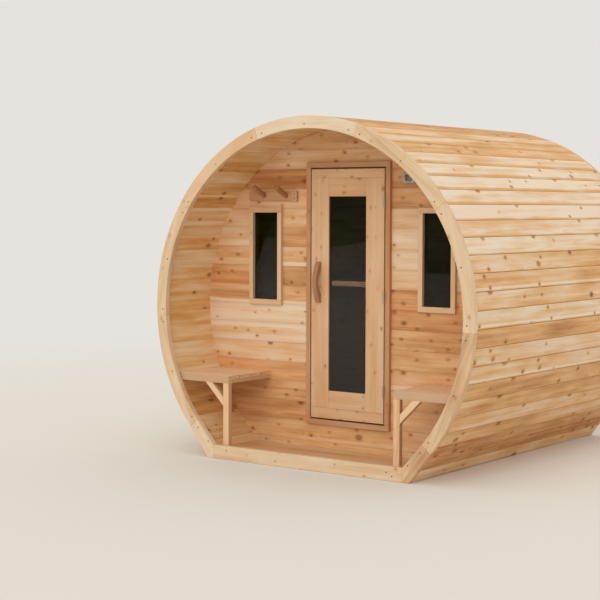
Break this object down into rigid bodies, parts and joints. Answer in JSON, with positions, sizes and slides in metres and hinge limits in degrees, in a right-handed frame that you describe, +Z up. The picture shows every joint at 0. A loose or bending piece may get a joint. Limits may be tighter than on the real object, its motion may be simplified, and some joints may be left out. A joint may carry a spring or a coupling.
{
  "type": "barrel sauna",
  "caption": "Round timber sauna cabin of staves between two rings, with an open porch, two small benches, a glazed hinged door and two fixed windows.",
  "frame": {"origin": "on the ground under the middle of the barrel", "axes": "+Z up; the porch and its door face -Y; +X is to the right of someone who looks at the door"},
  "size_m": [2.4396, 2.456, 2.2018],
  "materials": {
    "hull_wood": "planed, unpainted",
    "ring_wood": "planed, unpainted",
    "wall_wood": "planed, unpainted",
    "trim_wood": "planed, unpainted",
    "casing_wood": "planed, unpainted",
    "door_wood": "planed, unpainted",
    "bench_wood": "planed, unpainted",
    "floor_wood": "planed, unpainted",
    "handle_wood": "oiled",
    "glass": "tinted, polished",
    "hinge_steel": "satin",
    "vent_metal": "matt grey"
  },
  "bodies": {
    "cabin": {"front_ring_odd_arcs": "ring_wood", "front_ring_even_arcs": "ring_wood", "back_ring_odd_arcs": "ring_wood", "back_ring_even_arcs": "ring_wood", "front_sill": "ring_wood", "back_sill": "ring_wood", "floor_joists": "floor_wood", "porch_floor": "floor_wood", "room_floor": "floor_wood", "front_wall_over_door": "wall_wood", "front_wall_below_door": "wall_wood", "front_wall_left": "wall_wood", "front_wall_right": "wall_wood", "back_wall": "wall_wood", "left_window_frame": "trim_wood", "right_window_frame": "trim_wood", "left_window_glass": "glass", "right_window_glass": "glass", "door_sill": "casing_wood", "door_head": "casing_wood", "door_jamb_left": "casing_wood", "door_jamb_right": "casing_wood", "jamb_hinges": "hinge_steel", "left_bench_seat": "bench_wood", "right_bench_seat": "bench_wood", "left_bench_frame": "bench_wood", "right_bench_frame": "bench_wood", "inner_bench_seat": "bench_wood", "inner_bench_frame": "bench_wood", "robe_rail": "casing_wood", "vent": "vent_metal", "hull_panel_1": "hull_wood", "hull_panel_2": "hull_wood", "hull_panel_3": "hull_wood", "hull_panel_4": "hull_wood", "hull_panel_5": "hull_wood", "hull_panel_6": "hull_wood", "hull_panel_7": "hull_wood", "hull_panel_8": "hull_wood"},
    "door": {"door_bands": "door_wood", "door_stiles": "door_wood", "door_rails": "door_wood", "door_glass": "glass", "door_handle": "handle_wood", "leaf_hinges": "hinge_steel"}
  },
  "joints": [
    {"name": "door_hinge", "type": "hinge", "parent": "cabin", "child": "door", "pos_m": [0.289, -0.765, 1.0705], "axis": [0, 0, 1], "range_deg": [0, 110]}
  ]
}
